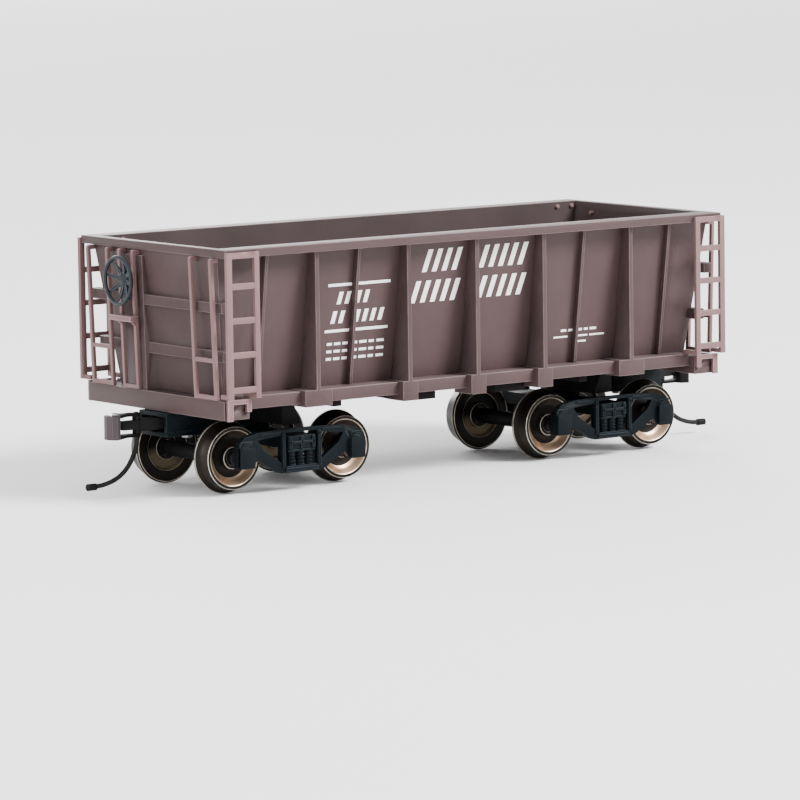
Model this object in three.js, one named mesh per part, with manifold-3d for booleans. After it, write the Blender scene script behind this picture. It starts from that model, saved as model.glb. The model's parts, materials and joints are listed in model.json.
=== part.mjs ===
// Model railway hopper car, 16.5 mm gauge: a short open ore hopper on two four-wheel trucks.
// Millimetres, +Z up, +X along the car, brake wheel at the -X end, flange bottoms on z = 0.

import * as THREE from 'three';
import { mergeVertices } from 'three/addons/utils/BufferGeometryUtils.js';
import { ConvexGeometry } from 'three/addons/geometries/ConvexGeometry.js';
import Module from 'manifold-3d';

const wasm = await Module();
wasm.setup();

// ---------- driving dimensions ----------

// running gear
const FLANGE = 0.64;
const TREAD_R = 4.7;
const TREAD_FRONT_R = 4.58;
const FLANGE_R = TREAD_R + FLANGE;
const AXLE_Z = FLANGE_R;
const WHEEL_BACK = 7.25;
const WHEEL_FRONT = 10.05;
const AXLE_R = 1.15;
const SEAT_R = 1.0;
const JOURNAL_R = 0.55;
const AXLE_TIP = 12.75;
const TRUCK_X = 28.85;
const AXLE_X = 9.75;
const FIT = 0.05;

// side frames and truck bolster
const FRAME_IN = 11.95;
const FRAME_OUT = 13.0;
const FRAME_TOP = 9.22;
const FRAME_BOTTOM = 2.84;
const WINDOW_HALF = 2.85;
const WINDOW_LOW = 3.7;
const WINDOW_HIGH = 8.72;
const JOURNAL_IN = 11.55;
const JOURNAL_OUT = 13.7;
const BOLSTER_HALF = 2.4;
const BOLSTER_LOW = 6.3;
const BOLSTER_HIGH = 8.15;
const CENTRE_PLATE_R = 3.0;
const CENTRE_PLATE_TOP = 9.36;

// body
const RIM_X = 45.5;
const RIM_Y = 18.75;
const RIM_TOP = 36.34;
const RIM_LOW = 35.14;
const WALL = 0.9;
const FOOT_Z = 15.64;
const SIDE_TOP_Y = 16.0;
const SIDE_FOOT_Y = 13.3;
const END_TOP_X = 45.0;
const END_FOOT_X = 42.7;
const GUSSET_Y = 17.7;
const GUSSET_T = 0.7;
const GUSSETS = [-TRUCK_X, -12.45, 0, 12.45, TRUCK_X];
const RIBS = [-37, -20.7, 20.7, 37];
const RIB_OUT = 1.0;
const RIB_T = 0.5;
const END_SILL_IN = 41.0;
const END_SILL_OUT = 45.35;
const END_SILL_Y = 17.65;
const END_SILL_LOW = 11.94;
const END_SILL_TOP = 14.69;
const SIDE_SILL_Y = 16.5;
const SIDE_SILL_LOW = 13.14;
const SIDE_SILL_TOP = 14.99;
const SIDE_SILL_IN = 12.3;

// hopper liner
const SLOPE_TOP_X = 43.2;
const SLOPE_TOP_Z = 33.0;
const FLOOR_X = 16.0;
const FLOOR_Z = 14.2;
const LINER_T = 1.0;

// fittings
const PEG_R = 0.3;
const PEG_HOLE_R = 0.38;
const LADDER_PEG_Z = 35.65;
const GRAB_PEG_Z = 34.74;
const LADDER_IN_X = 40.5;
const LADDER_OUT_X = 45.25;
const LADDER_PEG_X = [40.5, 43.3];
const LADDER_Y0 = 18.8;
const LADDER_Y1 = 19.4;
const LADDER_TOP = 35.95;
const RUNG_H = 0.85;
const RUNGS = [16.34, 21.34, 26.24, 31.14, LADDER_TOP - RUNG_H / 2];
const GRAB_Y = [10.8, 15.9];
const GRAB_FOOT_X = 45.4;
const GRAB_TOP_X = 46.1;
const GRAB_LOW = 14.76;
const GRAB_HIGH = 35.06;
const BAR_DEEP = 0.5;
const BAR_WIDE = 0.6;
const STEP_X = [41.45, 44.65];
const STEP_LOW = 11.84;
const STEP_HIGH = 14.9;
const RACK_Y = [4.1, 7.6];
const BRAKE_Y = 5.4;
const BRAKE_Z = 30.64;
const BRAKE_R = 3.7;
const BRAKE_RIM_X = -47.85;

// couplers and draft gear
const DRAFT_X0 = 36.6;
const DRAFT_X1 = 45.9;
const DRAFT_Y = 3.6;
const DRAFT_LOW = 8.35;
const DRAFT_TOP = 11.85;
const DRAFT_T = 0.65;
const PIVOT_X = 40.0;
const COUPLER_Z = 10.2;
const HEAD_H = 3.45;
const PIN_X = 48.75;
const KNUCKLE_X = 53.0;
const KNUCKLE_Y = 1.2;
const GUARD_TIP = 52.5;
const NOSE_TIP = 54.5;

// ---------- materials ----------

function paint(color, roughness, metalness) {
  return new THREE.MeshStandardMaterial({ color, roughness, metalness });
}

const BODY_BROWN = paint(0x655555, 0.55, 0.0);
const FITTING_BROWN = paint(0x83696b, 0.5, 0.0);
const TRUCK_BLACK = paint(0x1c2226, 0.55, 0.0);
const BRAKE_BLACK = paint(0x23282c, 0.45, 0.1);
const WHEEL_DARK = paint(0x3a3633, 0.32, 0.9);
const STEEL = paint(0x8d8f92, 0.35, 0.9);
const BRONZE = paint(0xa8804f, 0.35, 0.9);

// ---------- solid helpers ----------

function solid(geometry) {
  const bare = geometry.clone();
  bare.deleteAttribute('normal');
  bare.deleteAttribute('uv');
  const merged = mergeVertices(bare, 1e-5);
  const vertProperties = new Float32Array(merged.attributes.position.array);
  const triVerts = new Uint32Array(merged.index.array);
  return new wasm.Manifold(new wasm.Mesh({ numProp: 3, vertProperties, triVerts }));
}

function geometryOf(manifold) {
  const mesh = manifold.getMesh();
  const geometry = new THREE.BufferGeometry();
  geometry.setAttribute('position', new THREE.BufferAttribute(new Float32Array(mesh.vertProperties), 3));
  geometry.setIndex(new THREE.BufferAttribute(new Uint32Array(mesh.triVerts), 1));
  const flat = geometry.toNonIndexed();
  flat.computeVertexNormals();
  return flat;
}

function join(pieces) {
  return pieces.reduce((whole, piece) => whole.add(piece));
}

function cut(whole, pieces) {
  return pieces.reduce((rest, piece) => rest.subtract(piece), whole);
}

function block(x0, x1, y0, y1, z0, z1) {
  const geometry = new THREE.BoxGeometry(Math.abs(x1 - x0), Math.abs(y1 - y0), Math.abs(z1 - z0));
  geometry.translate((x0 + x1) / 2, (y0 + y1) / 2, (z0 + z1) / 2);
  return solid(geometry);
}

// A round bar along X, Y or Z between two stations; the second radius may differ for a taper.
function rod(axis, from, to, a, b, radius, segments = 20, radiusTo = radius) {
  const geometry = new THREE.CylinderGeometry(radiusTo, radius, to - from, segments);
  geometry.translate(0, (from + to) / 2, 0);
  if (axis === 'x') {
    geometry.rotateZ(-Math.PI / 2);
    geometry.translate(0, a, b);
  } else if (axis === 'y') {
    geometry.translate(a, 0, b);
  } else {
    geometry.rotateX(Math.PI / 2);
    geometry.translate(a, b, 0);
  }
  return solid(geometry);
}

function shapeOf(points) {
  return new THREE.Shape(points.map(([u, v]) => new THREE.Vector2(u, v)));
}

// A plate drawn in the XZ plane, from y0 to y1.
function plateXZ(points, y0, y1) {
  const geometry = new THREE.ExtrudeGeometry(shapeOf(points), { depth: y1 - y0, bevelEnabled: false });
  geometry.rotateX(Math.PI / 2);
  geometry.translate(0, y1, 0);
  return solid(geometry);
}

// A plate drawn in the YZ plane, from x0 to x1.
function plateYZ(points, x0, x1) {
  const geometry = new THREE.ExtrudeGeometry(shapeOf(points), { depth: x1 - x0, bevelEnabled: false });
  geometry.rotateX(Math.PI / 2);
  geometry.rotateZ(Math.PI / 2);
  geometry.translate(x0, 0, 0);
  return solid(geometry);
}

// A plate drawn in the XY plane, from z0 to z1.
function plateXY(points, z0, z1) {
  const geometry = new THREE.ExtrudeGeometry(shapeOf(points), { depth: z1 - z0, bevelEnabled: false });
  geometry.translate(0, 0, z0);
  return solid(geometry);
}

// A block with a different half length and half width at its bottom and its top.
function taperedBlock(z0, x0, y0, z1, x1, y1) {
  const corners = [];
  for (const [z, x, y] of [[z0, x0, y0], [z1, x1, y1]]) {
    for (const [sx, sy] of [[1, 1], [1, -1], [-1, 1], [-1, -1]]) {
      corners.push(new THREE.Vector3(sx * x, sy * y, z));
    }
  }
  return solid(new ConvexGeometry(corners));
}

// A turned part about the Y axis through (x, z), from a closed list of [radius, y] points.
function turnedY(points, x, z, segments) {
  const profile = points.map(([r, y]) => new THREE.Vector2(r, y));
  const geometry = new THREE.LatheGeometry(profile, segments);
  geometry.translate(x, 0, z);
  return solid(geometry);
}

function sideY(z) {
  return SIDE_FOOT_Y + (z - FOOT_Z) * (SIDE_TOP_Y - SIDE_FOOT_Y) / (RIM_LOW - FOOT_Z);
}

function endX(z) {
  return END_FOOT_X + (z - FOOT_Z) * (END_TOP_X - END_FOOT_X) / (RIM_LOW - FOOT_Z);
}

function hopperVolume(z0, z1, inset) {
  return taperedBlock(z0, endX(z0) - inset, sideY(z0) - inset, z1, endX(z1) - inset, sideY(z1) - inset);
}

function mirrorY(manifold) {
  return manifold.mirror([0, 1, 0]);
}

function turned180(manifold) {
  return manifold.rotate([0, 0, 180]);
}

// ---------- car body ----------

function sideStiffeners() {
  const pieces = [];
  for (const x of GUSSETS) {
    const web = [
      [sideY(14.6) - 0.4, 14.6],
      [GUSSET_Y, 14.6],
      [GUSSET_Y, RIM_LOW + 0.2],
      [sideY(RIM_LOW) - 0.4, RIM_LOW + 0.2],
    ];
    pieces.push(plateYZ(web, x - GUSSET_T / 2, x + GUSSET_T / 2));
  }
  for (const x of RIBS) {
    const rib = [
      [sideY(14.6) - 0.4, 14.6],
      [sideY(14.6) + RIB_OUT, 14.6],
      [sideY(RIM_LOW + 0.2) + RIB_OUT, RIM_LOW + 0.2],
      [sideY(RIM_LOW) - 0.4, RIM_LOW + 0.2],
    ];
    pieces.push(plateYZ(rib, x - RIB_T / 2, x + RIB_T / 2));
  }
  for (const x of [-12.45, 0, 12.45]) {
    pieces.push(block(x - 1.375, x + 1.375, 13.4, GUSSET_Y, 12.24, 15.14));
  }
  for (const x of [-TRUCK_X, TRUCK_X]) {
    pieces.push(block(x - 2.4, x + 2.4, 13.4, GUSSET_Y, 12.74, 15.14));
  }
  pieces.push(block(-END_SILL_IN - 0.2, END_SILL_IN + 0.2, SIDE_SILL_IN, SIDE_SILL_Y, SIDE_SILL_LOW, SIDE_SILL_TOP));
  const side = join(pieces);
  return [side, mirrorY(side)];
}

function endStiffeners() {
  const end = [
    block(endX(28) - 0.6, 45.1, -17.0, 17.0, 27.14, 28.64),
    block(endX(21) - 0.6, 44.35, -16.0, 16.0, 20.04, 21.64),
    block(END_SILL_IN, END_SILL_OUT, -END_SILL_Y, END_SILL_Y, END_SILL_LOW, END_SILL_TOP),
  ];
  const whole = join(end);
  return [whole, turned180(whole)];
}

// A wide upright post on the brake end that backs the brake rack.
function brakePost() {
  const z0 = END_SILL_TOP - 0.2;
  const z1 = 34.3;
  const line = [
    [-endX(z0) + 0.4, z0],
    [-endX(z1) + 0.4, z1],
    [-45.35, z1],
    [-44.85, z0],
  ];
  return plateXZ(line, 2.9, 8.9);
}

function bodyShell() {
  let shell = join([
    hopperVolume(13.3, RIM_LOW + 0.2, 0),
    block(-RIM_X, RIM_X, -RIM_Y, RIM_Y, RIM_LOW, RIM_TOP),
    ...sideStiffeners(),
    ...endStiffeners(),
    brakePost(),
  ]);
  shell = shell.subtract(hopperVolume(12.9, RIM_TOP + 1, WALL));
  const holes = [];
  for (const sx of [-1, 1]) {
    for (const sy of [-1, 1]) {
      const y = sy * 16.5;
      for (const x of LADDER_PEG_X) {
        holes.push(rod('y', y - 2.4, y + 2.4, sx * x, LADDER_PEG_Z, PEG_HOLE_R, 16));
      }
      holes.push(rod('x', sx * 44.8 - 1.6, sx * 44.8 + 1.6, sy * GRAB_Y[0], GRAB_PEG_Z, PEG_HOLE_R, 16));
      for (const x of STEP_X) {
        holes.push(rod('y', sy * 17.2 - 0.9, sy * 17.2 + 0.9, sx * x, 13.4, PEG_HOLE_R, 16));
      }
    }
  }
  return cut(shell, holes);
}

function hopperLiner() {
  const drop = LINER_T * 1.215;
  const line = [
    [-SLOPE_TOP_X - 1.5, SLOPE_TOP_Z + 1.5 * 0.691],
    [-FLOOR_X, FLOOR_Z],
    [FLOOR_X, FLOOR_Z],
    [SLOPE_TOP_X + 1.5, SLOPE_TOP_Z + 1.5 * 0.691],
    [SLOPE_TOP_X + 1.5, SLOPE_TOP_Z + 1.5 * 0.691 - drop],
    [FLOOR_X + 0.35, FLOOR_Z - LINER_T],
    [-FLOOR_X - 0.35, FLOOR_Z - LINER_T],
    [-SLOPE_TOP_X - 1.5, SLOPE_TOP_Z + 1.5 * 0.691 - drop],
  ];
  return plateXZ(line, -17, 17).intersect(hopperVolume(12.9, RIM_TOP, WALL + FIT));
}

function underframe() {
  const bolster = [
    [TRUCK_X + 1.6, 9.5], [TRUCK_X - 1.7, 9.5], [TRUCK_X - 0.4, 12.6], [TRUCK_X + 1.6, 12.6],
  ];
  const half = [
    block(20, 40.9, -12.2, 12.2, 12.5, 13.08),
    plateXZ(bolster, -10.7, 10.7),
    rod('z', 9.44, 12.6, TRUCK_X, 0, CENTRE_PLATE_R, 28),
    block(5.5, 11, -14.3, 14.3, 11.74, 13.04),
    block(22, 23.4, -13.6, 13.6, 11.9, 13.04),
    block(DRAFT_X0, 40.9, -DRAFT_Y, DRAFT_Y, DRAFT_TOP + FIT, 12.6),
  ];
  const sill = block(-DRAFT_X0 + 0.2, DRAFT_X0 - 0.2, -2, 2, 11.7, 13.0);
  const end = join(half);
  let frame = join([sill, end, turned180(end)]);
  for (const sx of [-1, 1]) {
    frame = frame.subtract(rod('z', 9, 12.1, sx * TRUCK_X, 0, 0.95, 20));
    frame = frame.subtract(rod('z', 11, 12.35, sx * PIVOT_X, 0, 0.5, 16));
  }
  return frame;
}

// A steel plate that rides on the deck under each slope sheet.
function ballast(sx) {
  return taperedBlock(13.14, 8.4, 11.2, 15.4, 8.0, 10.8).translate([sx * 31.6, 0, 0]);
}

// ---------- ladders, grab frames and steps ----------

function ladder(sx, sy) {
  const pieces = [
    block(LADDER_IN_X - 0.4, LADDER_IN_X + 0.4, LADDER_Y0, LADDER_Y1, 15.05, LADDER_TOP),
    block(LADDER_OUT_X - 0.45, LADDER_OUT_X + 0.45, LADDER_Y0, LADDER_Y1, 15.05, LADDER_TOP),
    block(LADDER_IN_X - 0.4, LADDER_IN_X + 0.4, 16.0, LADDER_Y1, 15.05, 15.65),
    block(LADDER_OUT_X - 0.45, LADDER_OUT_X + 0.25, 17.0, LADDER_Y1, 15.05, 15.65),
  ];
  for (const x of LADDER_PEG_X) {
    pieces.push(rod('y', 14.8, LADDER_Y0 + 0.3, x, LADDER_PEG_Z, PEG_R, 16));
  }
  for (const z of RUNGS) {
    const z0 = z - RUNG_H / 2;
    pieces.push(block(LADDER_IN_X, LADDER_OUT_X, LADDER_Y0 + 0.05, LADDER_Y1 - 0.05, z0, z0 + RUNG_H));
  }
  return corner(join(pieces), sx, sy);
}

function corner(piece, sx, sy) {
  let placed = piece;
  if (sx < 0) {
    placed = placed.mirror([1, 0, 0]);
  }
  if (sy < 0) {
    placed = placed.mirror([0, 1, 0]);
  }
  return placed;
}

// An upright bar on an end, leaning out from the sill towards the rim.
function leaningBar(y0, y1, z0, z1) {
  const lean = (z) => GRAB_FOOT_X + (z - GRAB_LOW) * (GRAB_TOP_X - GRAB_FOOT_X) / (GRAB_HIGH - GRAB_LOW);
  const line = [
    [lean(z0) - BAR_DEEP / 2, z0],
    [lean(z0) + BAR_DEEP / 2, z0],
    [lean(z1) + BAR_DEEP / 2, z1],
    [lean(z1) - BAR_DEEP / 2, z1],
  ];
  return plateXZ(line, y0, y1);
}

function endGrab(sx, sy) {
  const pieces = [];
  for (const y of GRAB_Y) {
    pieces.push(leaningBar(y - BAR_WIDE / 2, y + BAR_WIDE / 2, GRAB_LOW, GRAB_HIGH));
    pieces.push(block(45.02, GRAB_TOP_X, y - BAR_WIDE / 2, y + BAR_WIDE / 2, 34.42, GRAB_HIGH));
  }
  for (const z of [GRAB_LOW, 20.1]) {
    pieces.push(leaningBar(GRAB_Y[0], GRAB_Y[1], z, z + BAR_WIDE));
  }
  pieces.push(rod('x', 43.6, 45.4, GRAB_Y[0], GRAB_PEG_Z, PEG_R, 16));
  return corner(join(pieces), sx, sy);
}

// A step strap: a long outer leg, a short inner one, and pegs into the end of the sill.
function stirrup(sx, sy) {
  const pieces = [
    block(STEP_X[0] - 0.4, STEP_X[1] + 0.45, 17.75, 18.35, STEP_HIGH - 0.7, STEP_HIGH),
    block(STEP_X[0] - 0.4, STEP_X[0] + 0.4, 17.75, 18.35, 13.0, STEP_HIGH),
    block(STEP_X[1] - 0.45, STEP_X[1] + 0.45, 17.75, 18.35, STEP_LOW, STEP_HIGH),
  ];
  for (const x of STEP_X) {
    pieces.push(rod('y', 16.4, 18.0, x, 13.4, PEG_R, 16));
  }
  return corner(join(pieces), sx, sy);
}

// ---------- hand brake ----------

function brakeRack() {
  const pieces = [];
  for (const y of RACK_Y) {
    pieces.push(leaningBar(y - BAR_WIDE / 2, y + BAR_WIDE / 2, GRAB_LOW, GRAB_HIGH));
    pieces.push(block(45.02, GRAB_TOP_X, y - BAR_WIDE / 2, y + BAR_WIDE / 2, 34.42, GRAB_HIGH));
  }
  pieces.push(leaningBar(RACK_Y[0], RACK_Y[1], GRAB_LOW, GRAB_LOW + BAR_WIDE));
  pieces.push(leaningBar(RACK_Y[0], RACK_Y[1], BRAKE_Z - 0.7, BRAKE_Z + 0.7));
  return join(pieces).mirror([1, 0, 0]);
}

function brakePlatform() {
  const board = block(-47.5, -46.1, 3.0, 8.6, 24.7, 25.5);
  const brackets = RACK_Y.map((y) => {
    const line = [[-46.1, 24.0], [-46.1, 24.8], [-46.9, 24.8]];
    return plateXZ(line, y - 0.3, y + 0.3);
  });
  return join([board, ...brackets]);
}

function brakeHousing() {
  return join([
    rod('x', -46.58, -46.27, BRAKE_Y, BRAKE_Z, 1.5, 24),
    block(-46.55, -46.27, BRAKE_Y - 0.8, BRAKE_Y + 0.8, BRAKE_Z - 3.0, BRAKE_Z),
    rod('x', -47.4, -46.5, BRAKE_Y, BRAKE_Z, 0.35, 20),
  ]);
}

// A dished wheel: the rim stands further out than the hub.
function brakeWheel() {
  const rim = new THREE.TorusGeometry(BRAKE_R - 0.32, 0.32, 8, 32);
  rim.rotateY(Math.PI / 2);
  rim.translate(BRAKE_RIM_X, 0, 0);
  const pieces = [solid(rim), rod('x', -47.3, -46.63, 0, 0, 0.85, 24)];
  for (let i = 0; i < 8; i += 1) {
    const spoke = [[-46.75, 0.5], [-47.15, 0.5], [-48.0, BRAKE_R - 0.35], [-47.65, BRAKE_R - 0.35]];
    pieces.push(plateXZ(spoke, -0.17, 0.17).rotate([i * 45, 0, 0]));
  }
  const wheel = join(pieces).subtract(rod('x', -49, -46.5, 0, 0, 0.42, 20));
  return wheel.translate([0, BRAKE_Y, BRAKE_Z]);
}

// ---------- couplers, drawn for the +X end ----------

function draftBox() {
  const shell = block(DRAFT_X0, DRAFT_X1, -DRAFT_Y, DRAFT_Y, DRAFT_LOW + 0.65, DRAFT_TOP);
  const inside = block(
    DRAFT_X0 + DRAFT_T, DRAFT_X1 + 1, -DRAFT_Y + DRAFT_T, DRAFT_Y - DRAFT_T, DRAFT_LOW, DRAFT_TOP - DRAFT_T,
  );
  const post = rod('z', DRAFT_LOW + 0.65, DRAFT_TOP - 0.3, PIVOT_X, 0, 0.95, 24);
  return shell.subtract(inside).add(post).subtract(rod('z', 8, 12.5, PIVOT_X, 0, 0.5, 16));
}

function draftLid() {
  const lid = block(DRAFT_X0, DRAFT_X1, -DRAFT_Y, DRAFT_Y, DRAFT_LOW, DRAFT_LOW + 0.6);
  const lip = block(DRAFT_X0 + 0.7, DRAFT_X0 + 1.1, -2.8, 2.8, DRAFT_LOW + 0.5, DRAFT_LOW + 0.9);
  return lid.add(lip).subtract(rod('z', 8, 12.5, PIVOT_X, 0, 0.5, 16));
}

function crossSlot(x, y, z0, z1, length) {
  const bar = block(x - length, x + length, y - 0.14, y + 0.14, z0, z1);
  const other = block(x - 0.14, x + 0.14, y - length, y + length, z0, z1);
  return bar.add(other);
}

function lidScrew() {
  const head = rod('z', 7.62, 8.3, PIVOT_X, 0, 0.75, 24, 0.95);
  const shank = rod('z', 8.2, 12.25, PIVOT_X, 0, 0.45, 16);
  return head.add(shank).subtract(crossSlot(PIVOT_X, 0, 7.4, 7.95, 0.55));
}

function truckScrew(sx) {
  const head = rod('z', 5.35, 6.2, sx * TRUCK_X, 0, 1.5, 28, 1.75);
  const shank = rod('z', 6.1, 12.0, sx * TRUCK_X, 0, 0.9, 20);
  return head.add(shank).subtract(crossSlot(sx * TRUCK_X, 0, 5, 5.8, 1.05));
}

// Two bent leaves and a rear strap that push the shank back to the centre.
function centeringSpring() {
  const line = [
    [38.9, 1.3], [41.2, 2.2], [44.6, 2.05], [44.6, 2.25], [41.2, 2.42], [38.75, 1.55],
  ];
  const leaf = plateXY(line, 9.5, 10.8);
  const rear = block(37.4, 37.65, -1.6, 1.6, 9.5, 10.8);
  const arm = plateXY([[37.4, 1.3], [38.9, 1.3], [38.9, 1.55], [37.4, 1.55]], 9.5, 10.8);
  const moved = leaf.add(arm).translate([0, 0.5, 0]);
  const strap = block(37.4, 37.65, -2.05, 2.05, 9.5, 10.8);
  return join([moved, mirrorY(moved), rear, strap]);
}

function couplerHead() {
  const low = COUPLER_Z - HEAD_H / 2;
  const high = COUPLER_Z + HEAD_H / 2;
  const ring = rod('z', 9.3, 10.98, PIVOT_X, 0, 1.75, 28);
  const shank = block(PIVOT_X + 0.8, PIN_X, -1.0, 1.0, 9.3, 10.98);
  const column = rod('z', low, high, PIN_X, 0, 0.62, 24);
  const tongue = block(PIN_X, 51.3, -0.7, 0.7, 9.55, 10.85);
  const jaw = [
    [48.5, -0.6], [49.4, -0.85], [51.0, -0.9], [51.2, -1.7], [51.7, -1.8], [51.9, -0.6], [53.3, 0.55],
    [53.7, 1.1], [53.6, 1.6], [53.1, 1.9], [52.5, 1.8], [51.0, 0.9], [49.4, 0.85], [48.5, 0.6],
  ];
  const guard = [
    [51.1, -1.2], [51.6, -0.75], [52.2, -1.3], [GUARD_TIP, -2.0], [GUARD_TIP, -2.35],
    [GUARD_TIP - 0.3, -2.45], [51.3, -2.0], [51.1, -1.8],
  ];
  const whole = join([
    ring, shank, column, tongue,
    plateXY(jaw, low, low + 0.4),
    plateXY(jaw, high - 0.4, high),
    plateXY(guard, low, high - 0.5),
    block(51.1, 51.7, -1.8, -0.7, low, high),
  ]);
  return cut(whole, [
    rod('z', 9, 11.3, PIVOT_X, 0, 1.02, 24),
    rod('z', low - 0.2, high + 0.2, PIN_X, 0, 0.4, 16),
    rod('z', low - 0.2, high + 0.2, KNUCKLE_X, KNUCKLE_Y, 0.34, 16),
  ]);
}

function knuckle() {
  const low = COUPLER_Z - HEAD_H / 2;
  const high = COUPLER_Z + HEAD_H / 2;
  const plan = [
    [KNUCKLE_X - 0.15, 2.15], [53.4, 2.25], [NOSE_TIP - 0.4, 1.9], [NOSE_TIP, 1.0],
    [NOSE_TIP - 0.2, 0.0], [54.0, -0.4], [53.5, -0.4], [53.55, 0.2], [53.2, 0.55], [KNUCKLE_X - 0.1, 0.6],
  ];
  const nose = plateXY(plan, low, high).subtract(rod('z', low - 0.2, high + 0.2, KNUCKLE_X, KNUCKLE_Y, 0.86, 28));
  const hub = rod('z', low + 0.45, high - 0.45, KNUCKLE_X, KNUCKLE_Y, 0.62, 24);
  const neck = plateXY(plan, low + 0.45, high - 0.45);
  return join([nose, hub, neck]).subtract(rod('z', low - 0.2, high + 0.2, KNUCKLE_X, KNUCKLE_Y, 0.38, 20));
}

function knucklePin() {
  const low = COUPLER_Z - HEAD_H / 2;
  const high = COUPLER_Z + HEAD_H / 2;
  const head = rod('z', high + 0.03, high + 0.25, KNUCKLE_X, KNUCKLE_Y, 0.5, 16);
  return head.add(rod('z', low - 0.15, high + 0.1, KNUCKLE_X, KNUCKLE_Y, 0.31, 16));
}

// A bent wire through the head, curving out and along above the rails to a thicker tip.
function tripPin() {
  const stations = [
    [PIN_X, 12.05], [PIN_X, 9.0], [PIN_X + 0.05, 7.2], [49.55, 5.4], [50.6, 3.9],
    [52.1, 2.75], [54.0, 2.05], [55.6, 1.82], [57.3, 1.78],
  ];
  const path = new THREE.CatmullRomCurve3(stations.map(([x, z]) => new THREE.Vector3(x, 0, z)));
  const round = new THREE.Shape();
  round.absarc(0, 0, 0.36, 0, Math.PI * 2, false);
  const wire = new THREE.ExtrudeGeometry(round, {
    steps: 20, curveSegments: 6, bevelEnabled: false, extrudePath: path,
  });
  return solid(wire).add(rod('x', 55.9, 57.4, 0, 1.78, 0.52, 16));
}

// ---------- trucks, drawn about the pivot ----------

function sideFrame() {
  const right = [
    [4.3, 9.2], [7.6, 9.05], [9.9, 8.55], [10.7, 7.7], [10.95, 6.4], [10.95, 4.9], [10.75, 4.2],
    [8.5, 4.2], [7.7, 5.1], [4.3, FRAME_BOTTOM + 0.25], [3.4, FRAME_BOTTOM],
  ];
  const left = right.map(([x, z]) => [-x, z]).reverse();
  const outline = [[0, FRAME_TOP], ...right, [0, FRAME_BOTTOM], ...left].reverse();
  let frame = plateXZ(outline, FRAME_IN, FRAME_OUT);
  frame = frame.subtract(block(-WINDOW_HALF, WINDOW_HALF, 11, 14, WINDOW_LOW, WINDOW_HIGH));
  for (const sx of [-1, 1]) {
    const light = [[sx * 3.45, 8.35], [sx * 7.6, 8.0], [sx * 6.7, 6.6], [sx * 3.45, 4.35]];
    frame = frame.subtract(plateXZ(sx > 0 ? light.reverse() : light, 11, 14));
    const x = sx * AXLE_X;
    frame = frame.add(block(x - 1.2, x + 1.2, JOURNAL_IN, JOURNAL_OUT, 4.1, 7.1));
    frame = frame.add(rod('y', JOURNAL_IN, JOURNAL_OUT - 0.2, x, 6.6, 1.2, 20));
  }
  for (const x of [-1.55, 0, 1.55]) {
    frame = frame.add(rod('z', WINDOW_LOW - 0.1, BOLSTER_LOW - 0.1, x, (FRAME_IN + FRAME_OUT) / 2, 0.62, 16));
  }
  for (const sx of [-1, 1]) {
    frame = frame.subtract(rod('y', 11, AXLE_TIP + 0.12, sx * AXLE_X, AXLE_Z, JOURNAL_R + 0.08, 24));
  }
  return frame;
}

function truckBolster() {
  const beam = block(-BOLSTER_HALF, BOLSTER_HALF, -13.15, 13.15, BOLSTER_LOW, BOLSTER_HIGH);
  const plate = rod('z', BOLSTER_HIGH - 0.2, CENTRE_PLATE_TOP, 0, 0, CENTRE_PLATE_R, 28);
  return join([beam, plate]).subtract(rod('z', 6, 10, 0, 0, 1.0, 20));
}

function axle() {
  const half = [
    [0.12, AXLE_TIP], [JOURNAL_R, AXLE_TIP - 0.45], [JOURNAL_R, 11.1], [SEAT_R, 10.6], [SEAT_R, 6.9], [AXLE_R, 6.6],
  ];
  const upper = half.map(([r, y]) => [r, y]);
  const lower = half.map(([r, y]) => [r, -y]).reverse();
  const profile = [[0, AXLE_TIP], ...upper, ...lower, [0, -AXLE_TIP]];
  return turnedY(profile.reverse(), 0, 0, 20);
}

function wheel() {
  const bore = SEAT_R + 0.03;
  const profile = [
    [bore, 7.4], [1.85, 7.4], [2.0, 7.9], [3.1, 7.9], [3.4, WHEEL_BACK], [5.1, WHEEL_BACK],
    [FLANGE_R, 7.6], [TREAD_R, 8.35], [TREAD_FRONT_R, WHEEL_FRONT], [4.0, WHEEL_FRONT],
    [2.9, 8.9], [1.7, 8.9], [1.6, 9.7], [bore, 9.7], [bore, 7.4],
  ];
  return turnedY(profile, 0, 0, 32);
}

// ---------- assembly ----------

const car = new THREE.Group();
car.name = 'model_hopper_car';

function put(name, manifold, material) {
  const mesh = new THREE.Mesh(geometryOf(manifold), material);
  mesh.name = name;
  car.add(mesh);
}

put('body_shell', bodyShell(), BODY_BROWN);
put('hopper_liner', hopperLiner(), BODY_BROWN);
put('underframe', underframe(), TRUCK_BLACK);
put('brake_rack', brakeRack(), FITTING_BROWN);
put('brake_platform', brakePlatform(), FITTING_BROWN);
put('brake_housing', brakeHousing(), BRAKE_BLACK);
put('brake_wheel', brakeWheel(), BRAKE_BLACK);

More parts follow.
